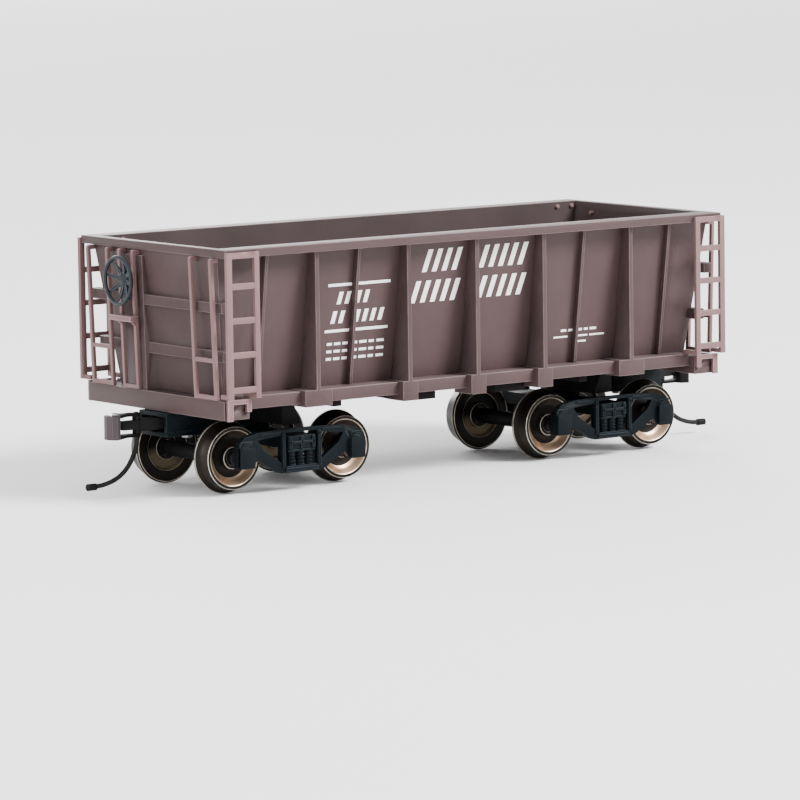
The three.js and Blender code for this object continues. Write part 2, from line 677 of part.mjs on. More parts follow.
for (const [endName, sx] of [['left', -1], ['right', 1]]) {
  put(`ballast_${endName}`, ballast(sx), STEEL);
  for (const [sideName, sy] of [['near', -1], ['far', 1]]) {
    put(`ladder_${endName}_${sideName}`, ladder(sx, sy), FITTING_BROWN);
    put(`end_grab_${endName}_${sideName}`, endGrab(sx, sy), FITTING_BROWN);
    put(`stirrup_${endName}_${sideName}`, stirrup(sx, sy), FITTING_BROWN);
  }

  const facing = (piece) => (sx < 0 ? turned180(piece) : piece);
  put(`draft_box_${endName}`, facing(draftBox()), TRUCK_BLACK);
  put(`draft_lid_${endName}`, facing(draftLid()), TRUCK_BLACK);
  put(`lid_screw_${endName}`, facing(lidScrew()), STEEL);
  put(`centering_spring_${endName}`, facing(centeringSpring()), BRONZE);
  put(`coupler_head_${endName}`, facing(couplerHead()), TRUCK_BLACK);
  put(`knuckle_${endName}`, facing(knuckle()), TRUCK_BLACK);
  put(`knuckle_pin_${endName}`, facing(knucklePin()), STEEL);
  put(`trip_pin_${endName}`, facing(tripPin()), WHEEL_DARK);

  const at = [sx * TRUCK_X, 0, 0];
  put(`truck_screw_${endName}`, truckScrew(sx), STEEL);
  put(`truck_bolster_${endName}`, truckBolster().translate(at), TRUCK_BLACK);
  put(`sideframe_${endName}_far`, sideFrame().translate(at), TRUCK_BLACK);
  put(`sideframe_${endName}_near`, mirrorY(sideFrame()).translate(at), TRUCK_BLACK);
  for (const [axleName, ax] of [['1', -1], ['2', 1]]) {
    const centre = [sx * TRUCK_X + ax * AXLE_X, 0, AXLE_Z];
    put(`axle_${endName}_${axleName}`, axle().translate(centre), WHEEL_DARK);
    put(`wheel_${endName}_${axleName}_far`, wheel().translate(centre), WHEEL_DARK);
    put(`wheel_${endName}_${axleName}_near`, mirrorY(wheel()).translate(centre), WHEEL_DARK);
  }
}

export default car;
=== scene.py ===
# %% [markdown]
# # A model hopper car, finished piece by piece
# The object is a small open hopper car for 16.5 mm gauge model track. A CAD frame gives every solid and
# every joint. This lesson gives each solid the rounded edges, the small castings and the surface that the
# real moulded and turned parts have.
# Loading the frame comes first, because every later piece takes its place from it.

# %% Load the frame
import json
import math
import bpy
import bmesh
from mathutils import Matrix, Vector

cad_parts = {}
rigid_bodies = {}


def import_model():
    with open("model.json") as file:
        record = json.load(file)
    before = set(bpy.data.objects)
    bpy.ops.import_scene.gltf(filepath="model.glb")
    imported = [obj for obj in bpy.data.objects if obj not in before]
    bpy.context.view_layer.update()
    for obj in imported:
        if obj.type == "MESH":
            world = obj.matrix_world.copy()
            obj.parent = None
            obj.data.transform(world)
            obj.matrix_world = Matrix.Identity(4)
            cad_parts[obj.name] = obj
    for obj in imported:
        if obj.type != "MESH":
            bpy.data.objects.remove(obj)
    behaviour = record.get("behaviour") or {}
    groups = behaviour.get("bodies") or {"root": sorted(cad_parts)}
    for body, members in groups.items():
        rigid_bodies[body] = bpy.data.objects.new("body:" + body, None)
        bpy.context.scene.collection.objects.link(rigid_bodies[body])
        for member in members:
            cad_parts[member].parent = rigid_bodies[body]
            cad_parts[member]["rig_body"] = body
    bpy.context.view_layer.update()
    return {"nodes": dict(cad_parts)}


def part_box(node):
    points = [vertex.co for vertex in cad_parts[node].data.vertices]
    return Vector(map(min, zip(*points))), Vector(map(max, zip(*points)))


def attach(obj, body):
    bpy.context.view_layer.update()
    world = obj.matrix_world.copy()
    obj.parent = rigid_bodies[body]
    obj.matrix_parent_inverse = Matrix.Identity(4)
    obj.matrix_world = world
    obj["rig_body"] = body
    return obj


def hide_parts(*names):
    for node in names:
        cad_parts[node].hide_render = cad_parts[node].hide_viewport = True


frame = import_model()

nodes = frame["nodes"]

# %% [markdown]
# ## The camera
# A long lens from well back gives the flat, catalogue-like view of a small object. The camera is set
# from a yaw, a pitch and a small roll, so that its matrix can be read as three directions and a place. It
# could also be aimed with a Track To constraint, but a constraint hides the numbers.

# %% Camera
FOCAL_MM = 236.15
CAMERA_AT = Vector((-0.462448, -0.629251, 0.101349))
YAW, PITCH, ROLL = math.radians(36.224), math.radians(6.685), math.radians(-0.832)
forward = Vector((math.sin(YAW) * math.cos(PITCH), math.cos(YAW) * math.cos(PITCH), -math.sin(PITCH)))
level_right = Vector((math.cos(YAW), -math.sin(YAW), 0))
level_up = level_right.cross(forward)
right = math.cos(ROLL) * level_right + math.sin(ROLL) * level_up
up = -math.sin(ROLL) * level_right + math.cos(ROLL) * level_up
camera_data = bpy.data.cameras.new("camera")
camera_data.lens = FOCAL_MM
camera_data.sensor_width = 36
camera_data.clip_start = 0.01
camera = bpy.data.objects.new("camera", camera_data)
camera.matrix_world = Matrix((
    (right.x, up.x, -forward.x, CAMERA_AT.x),
    (right.y, up.y, -forward.y, CAMERA_AT.y),
    (right.z, up.z, -forward.z, CAMERA_AT.z),
    (0, 0, 0, 1),
))
bpy.context.scene.collection.objects.link(camera)
bpy.context.scene.camera = camera
print("camera", round(CAMERA_AT.length, 3), "m from the middle of the car")

# %% [markdown]
# ## Shared surface effects
# Three effects turn up on nearly every part of a model like this: the fine texture of a moulded or blasted
# surface, a paler line where paint and plastic thin out over an edge, and a little dust on upward faces.
# The paler edge line and the dust also paint highlights, along the edges and on the faces that look up.
# Each is a node group, made once, so that every material places it with its own values. The alternative, the
# same nodes copied into each material, drifts apart as soon as one of them is tuned.
# A group here gives out colours, masks and heights only. The shader stays in the material.

# %% Helper for groups
def new_group(name, inputs, outputs):
    group = bpy.data.node_groups.new(name, "ShaderNodeTree")
    for socket, kind, value in inputs:
        group.interface.new_socket(name=socket, in_out="INPUT", socket_type=kind).default_value = value
    for socket, kind in outputs:
        group.interface.new_socket(name=socket, in_out="OUTPUT", socket_type=kind)
    return group, group.nodes.new("NodeGroupInput"), group.nodes.new("NodeGroupOutput")


def put_node(tree, kind, values=None, **settings):
    node = tree.nodes.new(kind)
    for key, value in settings.items():
        setattr(node, key, value)
    for socket, value in (values or {}).items():
        node.inputs[socket].default_value = value
    return node


def mixed(tree, blend, factor, first, second):
    """A colour mix; each of the three may be a socket or a plain value."""
    mix = tree.nodes.new("ShaderNodeMix")
    mix.data_type = "RGBA"
    mix.blend_type = blend
    for index, value in ((0, factor), (6, first), (7, second)):
        if isinstance(value, bpy.types.NodeSocket):
            tree.links.new(value, mix.inputs[index])
        else:
            mix.inputs[index].default_value = value
    return mix.outputs[2]


def stretched(tree, value, low, high, to_low=0.0, to_high=1.0):
    """A Map Range node that stretches low..high of a value to to_low..to_high."""
    spread = put_node(tree, "ShaderNodeMapRange",
                      {"From Min": low, "From Max": high, "To Min": to_low, "To Max": to_high})
    tree.links.new(value, spread.inputs["Value"])
    return spread.outputs["Result"]


def product(tree, first, second, clamp=False):
    """The product of two sockets."""
    times = put_node(tree, "ShaderNodeMath", operation="MULTIPLY", use_clamp=clamp)
    tree.links.new(first, times.inputs[0])
    tree.links.new(second, times.inputs[1])
    return times.outputs[0]


def object_noise(tree, scale, detail, roughness):
    """A noise on object coordinates, so that it stays put on a piece that moves."""
    place = tree.nodes.new("ShaderNodeTexCoord")
    noise = put_node(tree, "ShaderNodeTexNoise", {"Scale": scale, "Detail": detail, "Roughness": roughness})
    tree.links.new(place.outputs["Object"], noise.inputs["Vector"])
    return noise


COLOR, FLOAT = "NodeSocketColor", "NodeSocketFloat"
GREY = (0.5, 0.5, 0.5, 1)

# %% [markdown]
# ### Moulded grain
# A steel mould leaves a very fine, even texture, and thick and thin sections of a moulding cool to slightly
# different tones. One fine noise gives the height, and one broad noise gives the tone.

# %% Grain group
grain_group, g_in, g_out = new_group(
    "moulded_grain",
    [("Color", COLOR, GREY), ("Tone", FLOAT, 0.1), ("Roughness", FLOAT, 0.5),
     ("Grain per metre", FLOAT, 6000.0)],
    [("Color", COLOR), ("Roughness", FLOAT), ("Height", FLOAT)],
)
broad = object_noise(grain_group, 110.0, 3.0, 0.6)
fine = object_noise(grain_group, 6000.0, 2.0, 0.5)
grain_group.links.new(g_in.outputs["Grain per metre"], fine.inputs["Scale"])
share = product(grain_group, stretched(grain_group, broad.outputs["Fac"], 0.3, 0.7), g_in.outputs["Tone"])
darker = mixed(grain_group, "MULTIPLY", 1.0, g_in.outputs["Color"], (0.45, 0.43, 0.43, 1))
toned = mixed(grain_group, "MIX", share, g_in.outputs["Color"], darker)
grain_group.links.new(toned, g_out.inputs["Color"])
GLOSS_SWING = 0.16
gloss = put_node(grain_group, "ShaderNodeMath", {1: GLOSS_SWING}, operation="MULTIPLY_ADD")
grain_group.links.new(fine.outputs["Fac"], gloss.inputs[0])
grain_group.links.new(g_in.outputs["Roughness"], gloss.inputs[2])
less = put_node(grain_group, "ShaderNodeMath", {1: GLOSS_SWING / 2}, operation="SUBTRACT")
grain_group.links.new(gloss.outputs[0], less.inputs[0])
grain_group.links.new(less.outputs[0], g_out.inputs["Roughness"])
grain_group.links.new(fine.outputs["Fac"], g_out.inputs["Height"])
print("group", grain_group.name, "with", len(grain_group.nodes), "nodes")

# %% [markdown]
# ### Pale edges: wear and painted highlight
# Every edge that gets rounded below is marked with a face attribute called "edge", because the same faces are
# where plastic scuffs and paint thins, and where the edges catch the light. The paler colour there is partly
# that wear and partly a painted highlight. The group reads that mark and breaks it up with noise. A curvature
# trick in the renderer would find the edges too, but an attribute stays on the mesh wherever it goes.

# %% Edge group
edge_wear_and_highlight_group, e_in, e_out = new_group(
    "edge_wear_and_highlight",
    [("Color", COLOR, GREY), ("Edge Wear and Highlight Color", COLOR, (0.8, 0.8, 0.8, 1)), ("Amount", FLOAT, 0.5)],
    [("Color", COLOR), ("Mask", FLOAT)],
)
mark = put_node(edge_wear_and_highlight_group, "ShaderNodeAttribute", attribute_name="edge", attribute_type="GEOMETRY")
patches = object_noise(edge_wear_and_highlight_group, 420.0, 3.0, 0.65)
broken = stretched(edge_wear_and_highlight_group, patches.outputs["Fac"], 0.3, 0.62, 0.45, 1.0)
mask = product(edge_wear_and_highlight_group, product(edge_wear_and_highlight_group, mark.outputs["Fac"], broken), e_in.outputs["Amount"])
paler = mixed(edge_wear_and_highlight_group, "MIX", mask, e_in.outputs["Color"], e_in.outputs["Edge Wear and Highlight Color"])
edge_wear_and_highlight_group.links.new(paler, e_out.inputs["Color"])
edge_wear_and_highlight_group.links.new(mask, e_out.inputs["Mask"])
print("group", edge_wear_and_highlight_group.name, "with", len(edge_wear_and_highlight_group.nodes), "nodes")

# %% [markdown]
# ### Dust and top highlight
# A model handled and shelved gathers dust on the faces that look up. With a pale colour, the same mask also
# paints a highlight on those faces. The upward part of the surface normal, broken up with noise, is the mask.

# %% Dust and top highlight group
dust_and_highlight_group, d_in, d_out = new_group(
    "dust_and_top_highlight",
    [("Color", COLOR, GREY), ("Dust and Highlight Color", COLOR, (0.45, 0.42, 0.4, 1)), ("Amount", FLOAT, 0.2)],
    [("Color", COLOR), ("Mask", FLOAT)],
)
place = dust_and_highlight_group.nodes.new("ShaderNodeTexCoord")
split = dust_and_highlight_group.nodes.new("ShaderNodeSeparateXYZ")
dust_and_highlight_group.links.new(place.outputs["Normal"], split.inputs[0])
facing_up = stretched(dust_and_highlight_group, split.outputs["Z"], 0.35, 1.0)
top_noise = object_noise(dust_and_highlight_group, 260.0, 4.0, 0.7)
top_patches = product(dust_and_highlight_group, facing_up, top_noise.outputs["Fac"])
mask = product(dust_and_highlight_group, top_patches, d_in.outputs["Amount"], clamp=True)
dusty = mixed(dust_and_highlight_group, "MIX", mask, d_in.outputs["Color"], d_in.outputs["Dust and Highlight Color"])
dust_and_highlight_group.links.new(dusty, d_out.inputs["Color"])
dust_and_highlight_group.links.new(mask, d_out.inputs["Mask"])
print("group", dust_and_highlight_group.name, "with", len(dust_and_highlight_group.nodes), "nodes")

# %% [markdown]
# ## The finishes
# The body is a brown engineering plastic, semi-matt. The thin mouldings, such as ladders and grab frames, are
# the same brown, given a paler finish: a painted highlight for the light that gets round them. The underframe
# gets a near-black finish, painted shade for the dark under the body. The trucks and couplers are a
# blue-black acetal. The wheels are turned metal, blackened, with a warm polished dish. Each finish chains the
# three groups in front of one Principled shader. A finish with a painted shade colour shows it wherever the
# face attribute for painted reflection and shade is low: the wheels carry a painted reflection on the lower
# half of their faces and painted shade on the upper half.

# %% One maker for all finishes
BUMP_STRENGTH, BUMP_METRES = 0.3, 0.00002


def finish_material(name, color, roughness, metallic=0.0, tone=0.3, grain=6000.0, edge=(0.6, 0.6, 0.6),
                    edge_wear_and_highlight_amount=0.3, dust_and_highlight=0.1, dust_and_highlight_color=(0.25, 0.21, 0.21), shine=0.3, painted_shade_color=None):
    material = bpy.data.materials.new(name)
    material.use_nodes = True
    tree = material.node_tree
    shader = tree.nodes["Principled BSDF"]
    shader.inputs["Metallic"].default_value = metallic
    shader.inputs["Specular IOR Level"].default_value = shine
    grained = put_node(tree, "ShaderNodeGroup", node_tree=grain_group)
    grained.inputs["Color"].default_value = (*color, 1)
    # Painted reflection and shade: where the face attribute is 0 the painted shade colour shows, where it is
    # 1 the finish's own colour.
    if painted_shade_color:
        painted_reflection_and_shade = put_node(tree, "ShaderNodeAttribute", attribute_name="painted_reflection_and_shade", attribute_type="GEOMETRY")
        bright = mixed(tree, "MIX", painted_reflection_and_shade.outputs["Fac"], (*painted_shade_color, 1), (*color, 1))
        tree.links.new(bright, grained.inputs["Color"])
    grained.inputs["Tone"].default_value = tone
    grained.inputs["Roughness"].default_value = roughness
    grained.inputs["Grain per metre"].default_value = grain
    edge_worn_and_highlighted = put_node(tree, "ShaderNodeGroup", node_tree=edge_wear_and_highlight_group)
    edge_worn_and_highlighted.inputs["Edge Wear and Highlight Color"].default_value = (*edge, 1)
    edge_worn_and_highlighted.inputs["Amount"].default_value = edge_wear_and_highlight_amount
    dusted_and_highlighted = put_node(tree, "ShaderNodeGroup", node_tree=dust_and_highlight_group)
    dusted_and_highlighted.inputs["Dust and Highlight Color"].default_value = (*dust_and_highlight_color, 1)
    dusted_and_highlighted.inputs["Amount"].default_value = dust_and_highlight
    bump = put_node(tree, "ShaderNodeBump", {"Strength": BUMP_STRENGTH, "Distance": BUMP_METRES})
    tree.links.new(grained.outputs["Color"], edge_worn_and_highlighted.inputs["Color"])
    tree.links.new(edge_worn_and_highlighted.outputs["Color"], dusted_and_highlighted.inputs["Color"])
    tree.links.new(dusted_and_highlighted.outputs["Color"], shader.inputs["Base Color"])
    tree.links.new(grained.outputs["Roughness"], shader.inputs["Roughness"])
    tree.links.new(grained.outputs["Height"], bump.inputs["Height"])
    tree.links.new(bump.outputs["Normal"], shader.inputs["Normal"])
    return material


# The pale dust colour and the large amount here also paint a highlight on the upward faces, such as the top
# chord.
body_brown = finish_material(
    "body_brown", (0.058, 0.0352, 0.0352), 0.5, tone=0.28, edge=(0.23, 0.165, 0.165),
    edge_wear_and_highlight_amount=0.45, dust_and_highlight=0.36, dust_and_highlight_color=(0.30, 0.235, 0.235), shine=0.2,
)
inner_brown = finish_material(
    "inner_brown", (0.040, 0.025, 0.026), 0.62, tone=0.45, edge=(0.14, 0.105, 0.105),
    edge_wear_and_highlight_amount=0.35, dust_and_highlight=0.25, dust_and_highlight_color=(0.13, 0.10, 0.098), shine=0.14,
)
# Painted highlight: the body's brown made paler, for the light that gets round thin mouldings.
fitting_brown = finish_material(
    "fitting_brown", (0.160, 0.094, 0.092), 0.45, tone=0.2, edge=(0.44, 0.31, 0.31),
    edge_wear_and_highlight_amount=0.55, dust_and_highlight=0.3, dust_and_highlight_color=(0.33, 0.25, 0.25), shine=0.22,
)
truck_black = finish_material(
    "truck_black", (0.0035, 0.0058, 0.0072), 0.5, tone=0.4, edge=(0.026, 0.038, 0.044),
    edge_wear_and_highlight_amount=0.45, dust_and_highlight=0.05, dust_and_highlight_color=(0.03, 0.035, 0.037), shine=0.06,
)
# Painted shade: the underframe is made near-black for the dark under the body.
underframe_painted_shade = finish_material(
    "underframe_painted_shade", (0.0075, 0.0065, 0.0070), 0.6, tone=0.4, edge=(0.03, 0.027, 0.028),
    edge_wear_and_highlight_amount=0.3, dust_and_highlight=0.05, dust_and_highlight_color=(0.03, 0.03, 0.03), shine=0.05,
)
coupler_black = finish_material(
    "coupler_black", (0.0075, 0.0070, 0.0080), 0.5, tone=0.4, edge=(0.05, 0.045, 0.049),
    edge_wear_and_highlight_amount=0.4, dust_and_highlight=0.08, dust_and_highlight_color=(0.05, 0.046, 0.047), shine=0.1,
)
knuckle_grey = finish_material(
    "knuckle_grey", (0.054, 0.042, 0.047), 0.5, tone=0.35, edge=(0.16, 0.13, 0.14),
    edge_wear_and_highlight_amount=0.5, dust_and_highlight=0.1, dust_and_highlight_color=(0.15, 0.13, 0.13), shine=0.2,
)
brake_black = finish_material(
    "brake_black", (0.0125, 0.0175, 0.022), 0.42, tone=0.3, edge=(0.12, 0.15, 0.17),
    edge_wear_and_highlight_amount=0.5, dust_and_highlight=0.1, dust_and_highlight_color=(0.08, 0.09, 0.1), shine=0.2,
)
print("plastic finishes:", [m.name for m in bpy.data.materials])

# %% [markdown]
# ### Turned metal
# Turned wheels carry very fine rings from the tool. The rings are left to the roughness and a faint grain
# rather than drawn one by one, because at this size a ring is a hundredth of a millimetre. The tread and the
# dish are polished by running and by the tool. The rest is chemically blackened.

# %% Metal finishes
wheel_dark = finish_material(
    "wheel_dark", (0.015, 0.0125, 0.0105), 0.4, metallic=0.5, tone=0.5, edge=(0.55, 0.50, 0.42),
    edge_wear_and_highlight_amount=0.8, dust_and_highlight=0.03, dust_and_highlight_color=(0.1, 0.09, 0.08), shine=0.1,
)
# Painted reflection and shade: the warm colour shows on the lower half of the dish, the dark painted shade
# colour on the upper half.
wheel_dish = finish_material(
    "wheel_dish", (0.56, 0.385, 0.26), 0.36, metallic=0.85, tone=0.35, edge=(0.7, 0.58, 0.45),
    edge_wear_and_highlight_amount=0.5, dust_and_highlight=0.03, painted_shade_color=(0.020, 0.016, 0.013), shine=0.2,
)
# The pale edge colour at full amount paints the bright line on the tread's edges: partly wear to bare metal,
# partly painted highlight.
wheel_tread = finish_material(
    "wheel_tread", (0.026, 0.022, 0.019), 0.34, metallic=0.8, tone=0.5, edge=(0.85, 0.78, 0.68),
    edge_wear_and_highlight_amount=1.0, dust_and_highlight=0.03, shine=0.2,
)
# Painted shade: the upper half of the wheel back takes the dark colour, for the shade under the car.
wheel_back = finish_material(
    "wheel_back", (0.150, 0.118, 0.076), 0.5, metallic=0.4, tone=0.6, edge=(0.3, 0.26, 0.2),
    edge_wear_and_highlight_amount=0.3, dust_and_highlight=0.05, painted_shade_color=(0.012, 0.013, 0.012), shine=0.1,
)
wire_black = finish_material(
    "wire_black", (0.0035, 0.0035, 0.004), 0.6, tone=0.4, edge=(0.07, 0.066, 0.062),
    edge_wear_and_highlight_amount=0.4, dust_and_highlight=0.03, dust_and_highlight_color=(0.04, 0.04, 0.04), shine=0.1,
)
steel = finish_material(
    "steel", (0.40, 0.41, 0.42), 0.34, metallic=1.0, tone=0.3, edge=(0.7, 0.7, 0.7),
    edge_wear_and_highlight_amount=0.5, dust_and_highlight=0.1,
)
bronze = finish_material(
    "bronze", (0.52, 0.33, 0.16), 0.32, metallic=1.0, tone=0.3, edge=(0.75, 0.6, 0.42),
    edge_wear_and_highlight_amount=0.4, dust_and_highlight=0.05,
)
printed_white = finish_material(
    "printed_white", (0.86, 0.85, 0.83), 0.42, tone=0.06, grain=9000.0, edge=(0.7, 0.66, 0.65),
    edge_wear_and_highlight_amount=0.3, dust_and_highlight=0.0,
)
print("all finishes:", len(bpy.data.materials))

# %% [markdown]
# ## How the pieces are made
# Two ways are used. Where the CAD solid already has the right form, its skin is copied, its triangles are
# joined back into whole faces, and its edges are rounded, as the mould or a file rounds them. Where the real
# part has more form than the solid, it is modelled anew in a bmesh. Both work in millimetres and are scaled
# to metres once, at the end.

# %% Helpers for pieces
def add_piece(name, bm, body, materials, stands_for=()):
    bmesh.ops.scale(bm, vec=(0.001, 0.001, 0.001), verts=bm.verts)
    mesh = bpy.data.meshes.new(name)
    bm.to_mesh(mesh)
    bm.free()
    for material in materials:
        mesh.materials.append(material)
    mesh.set_sharp_from_angle(angle=math.radians(52))
    piece = bpy.data.objects.new(name, mesh)
    bpy.context.scene.collection.objects.link(piece)
    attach(piece, body)
    if stands_for:
        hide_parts(*stands_for)
    return piece


def skin_of(node):
    """The CAD solid's skin in millimetres, with its flat faces whole again."""
    bm = bmesh.new()
    bm.from_mesh(nodes[node].data)
    bmesh.ops.scale(bm, vec=(1000, 1000, 1000), verts=bm.verts)
    bmesh.ops.remove_doubles(bm, verts=bm.verts, dist=0.0002)
    bmesh.ops.dissolve_limit(bm, angle_limit=math.radians(0.6), verts=bm.verts, edges=bm.edges)
    return bm


def edge_layer(bm):
    return bm.faces.layers.float.get("edge") or bm.faces.layers.float.new("edge")


def bevelled(bm, edges, width, segments, marked=True):
    """Bevels the edges by width, and marks the new faces for the pale-edge group."""
    mark = edge_layer(bm)
    made = bmesh.ops.bevel(bm, geom=edges, offset=width, offset_type="OFFSET", segments=segments, profile=0.5,
                           affect="EDGES", material=-1, clamp_overlap=True)
    for face in made["faces"]:
        face.smooth = True
        if marked:
            face[mark] = 1.0


FLAT_ANGLE, SHARP_ANGLE = math.radians(1), math.radians(28)


def round_edges(bm, width, segments=2, shortest=0.0):
    """Rounds each outward edge by width. Gentle turns, as round a screw, are only shaded smooth."""
    mark = edge_layer(bm)
    done = {f for f in bm.faces if f[mark] > 0}
    sharp = []
    for edge in bm.edges:
        if not edge.is_manifold:
            continue
        turn = edge.calc_face_angle(0)
        if FLAT_ANGLE < turn < SHARP_ANGLE:
            edge.link_faces[0].smooth = True
            edge.link_faces[1].smooth = True
        if turn > SHARP_ANGLE and edge.is_convex and edge.calc_length() > shortest:
            if not (edge.link_faces[0] in done or edge.link_faces[1] in done):
                sharp.append(edge)
    bevelled(bm, sharp, width, segments)
    return bm


def bend_tops(bm):
    """Rounds the top outer corner of the end bars, where the real wire-like bars hook over to the body."""
    top = max(v.co.z for v in bm.verts)
    out = max(abs(v.co.x) for v in bm.verts)
    corners = []
    for edge in bm.edges:
        at_corner = all(v.co.z > top - 0.02 and abs(v.co.x) > out - 0.12 for v in edge.verts)
        across = abs(edge.verts[0].co.y - edge.verts[1].co.y)
        if at_corner and 0.3 < across < 1:
            corners.append(edge)
    bevelled(bm, corners, 0.42, 4, marked=False)
    return bm


def cast_copy(node, material, width, segments=2, shortest=0.0, hooked=False):
    skin = bend_tops(skin_of(node)) if hooked else skin_of(node)
    piece_bm = round_edges(skin, width, segments, shortest)
    faces = len(piece_bm.faces)
    add_piece(f"{node}_finished", piece_bm, nodes[node]["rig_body"], [material], [node])
    return faces


def box_between(bm, low, high, width, segments=2):
    """A rounded block from its low corner to its high corner, added to a bmesh."""
    low, high = Vector(low), Vector(high)
    made = bmesh.ops.create_cube(bm, size=1.0)
    bmesh.ops.scale(bm, vec=high - low, verts=made["verts"])
    bmesh.ops.translate(bm, vec=(low + high) / 2, verts=made["verts"])
    bevelled(bm, list({e for v in made["verts"] for e in v.link_edges}), width, segments)


def turned(bm, profile, axis, centre, steps, material_of=None):
    """Spins a closed outline of (radius, along) points about an axis through centre."""
    axes = {"x": ((0, 1, 0), (1, 0, 0)), "y": ((0, 0, 1), (0, 1, 0)), "z": ((1, 0, 0), (0, 0, 1))}
    out, along = (Vector(v) for v in axes[axis])
    points = [bm.verts.new(out * r + along * a) for r, a in profile]
    edges = [bm.edges.new((a, b)) for a, b in zip(points, points[1:] + points[:1])]
    before = set(bm.faces)
    bmesh.ops.spin(bm, geom=points + edges, cent=(0, 0, 0), axis=along, dvec=(0, 0, 0), angle=math.tau,
                   steps=steps, use_merge=True, use_duplicate=False)
    faces = [f for f in bm.faces if f not in before]
    verts = list({v for f in faces for v in f.verts})
    bmesh.ops.remove_doubles(bm, verts=verts, dist=0.0005)
    faces = [f for f in bm.faces if f not in before]
    bmesh.ops.recalc_face_normals(bm, faces=faces)
    for face in faces:
        face.smooth = True
        if material_of:
            face.material_index = material_of(face)
    verts = list({v for f in faces for v in f.verts})
    bmesh.ops.translate(bm, vec=centre, verts=verts)


# %% [markdown]
# ## Body, hopper and underframe
# The body is one moulding: sloping side and end sheets, a top chord, gussets and ribs down the sides, ribs on
# the ends, and the sill under it all. Its edges are only just rounded, by about a tenth of a millimetre,
# which with the rim light gives the top chord its thin bright line; the pale edge and top colours add a
# painted highlight to it. The copy way is used, because a moulding's form is exactly its CAD solid plus those
# small roundings.

# %% Body pieces
INNER_WALL = 1
HOPPER_HALF_X, HOPPER_HALF_Y = 44.3, 15.6
bm = round_edges(skin_of("body_shell"), 0.09, 2, shortest=0.3)
for face in bm.faces:
    centre, normal = face.calc_center_median(), face.normal
    inward = centre.x * normal.x + centre.y * normal.y < 0
    if inward and normal.z > 0.05 and abs(centre.x) < HOPPER_HALF_X and abs(centre.y) < HOPPER_HALF_Y:
        face.material_index = INNER_WALL
faces = len(bm.faces)
add_piece("body_moulding", bm, "car_body", [body_brown, inner_brown], ["body_shell"])
print("body:", faces, "faces")
# The underframe takes the near-black painted shade finish.
print("underframe:", cast_copy("underframe", underframe_painted_shade, 0.1, 2), "faces")
print("liner:", cast_copy("hopper_liner", inner_brown, 0.08, 2), "faces")

# %% [markdown]
# Inside, the slope sheets are plates joined by seams, and the floor is a pair of drop doors. They only show
# from above. Low strips laid on the sheets give both, and a strip is a rounded block turned to the slope.

# %% Hopper seams and doors
liner_low, liner_high = (v * 1000 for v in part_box("hopper_liner"))
FLOOR_HALF_X, FLOOR_TOP, SLOPE = 16.0, 14.2, math.atan(0.691)
DOOR_HALF_X, DOOR_HALF_Y = 14.6, 11.6
bm = bmesh.new()
for sx in (-1, 1):
    for along in (8.0, 17.0, 26.0):
        half = 11.7 + along * math.sin(SLOPE) * 0.12
        before = set(bm.verts)
        box_between(bm, (-0.35, -half, -0.03), (0.35, half, 0.14), 0.06)
        strip = [v for v in bm.verts if v not in before]
        bmesh.ops.rotate(bm, cent=(0, 0, 0), matrix=Matrix.Rotation(-SLOPE, 3, "Y"), verts=strip)
        place = (FLOOR_HALF_X + along * math.cos(SLOPE), 0, FLOOR_TOP + along * math.sin(SLOPE))
        bmesh.ops.translate(bm, vec=place, verts=strip)
        if sx < 0:
            bmesh.ops.rotate(bm, cent=(0, 0, 0), matrix=Matrix.Rotation(math.pi, 3, "Z"), verts=strip)
for x in (-14.6, -0.5, 13.6):
    box_between(bm, (x, -DOOR_HALF_Y, FLOOR_TOP - 0.03), (x + 1.0, DOOR_HALF_Y, FLOOR_TOP + 0.2), 0.07)
for y in (-11.6, 10.6):
    box_between(bm, (-DOOR_HALF_X, y, FLOOR_TOP - 0.03), (DOOR_HALF_X, y + 1.0, FLOOR_TOP + 0.2), 0.07)
rivet_outline = [(0.01, 0.42), (0.2, 0.4), (0.33, 0.28), (0.36, 0.15), (0.01, 0.15)]
for x in (-11, -8, -5, 5, 8, 11):
    for y in (-11.1, 11.1):
        turned(bm, rivet_outline, "z", (x, y, FLOOR_TOP), 12)
add_piece("hopper_seams", bm, "car_body", [inner_brown])
print("hopper seams and door frames on a", round(liner_high.x - liner_low.x, 1), "mm liner")

# %% [markdown]
# ## Ladders, grab frames, steps and the brake rack
# These are thin mouldings pushed into holes in the body. A moulding this thin comes out of its mould nearly
# round, so its edges get a rounding of about a third of the bar. The end bars and the brake rack hook over to
# the body at the top, so the outer corner there is bent round before the other edges are rounded.

# %% Thin mouldings
for end in ("left", "right"):
    for side in ("near", "far"):
        count = cast_copy(f"ladder_{end}_{side}", fitting_brown, 0.16, 2)
        cast_copy(f"end_grab_{end}_{side}", fitting_brown, 0.16, 2, hooked=True)
        cast_copy(f"stirrup_{end}_{side}", fitting_brown, 0.16, 2)
cast_copy("brake_rack", fitting_brown, 0.16, 2, hooked=True)
cast_copy("brake_platform", fitting_brown, 0.1, 2)
print("a ladder has", count, "faces")

# %% [markdown]
# ## The hand brake
# The wheel is a dished casting: a round rim stands out past the hub on eight tapering spokes. The rim and the
# hub are spun. Each spoke is a block drawn out in two steps, so that it narrows and leans, and is then turned
# round the axis. A torus primitive would do for the rim, but a spun circle can be flattened a little, as the
# real rim is.

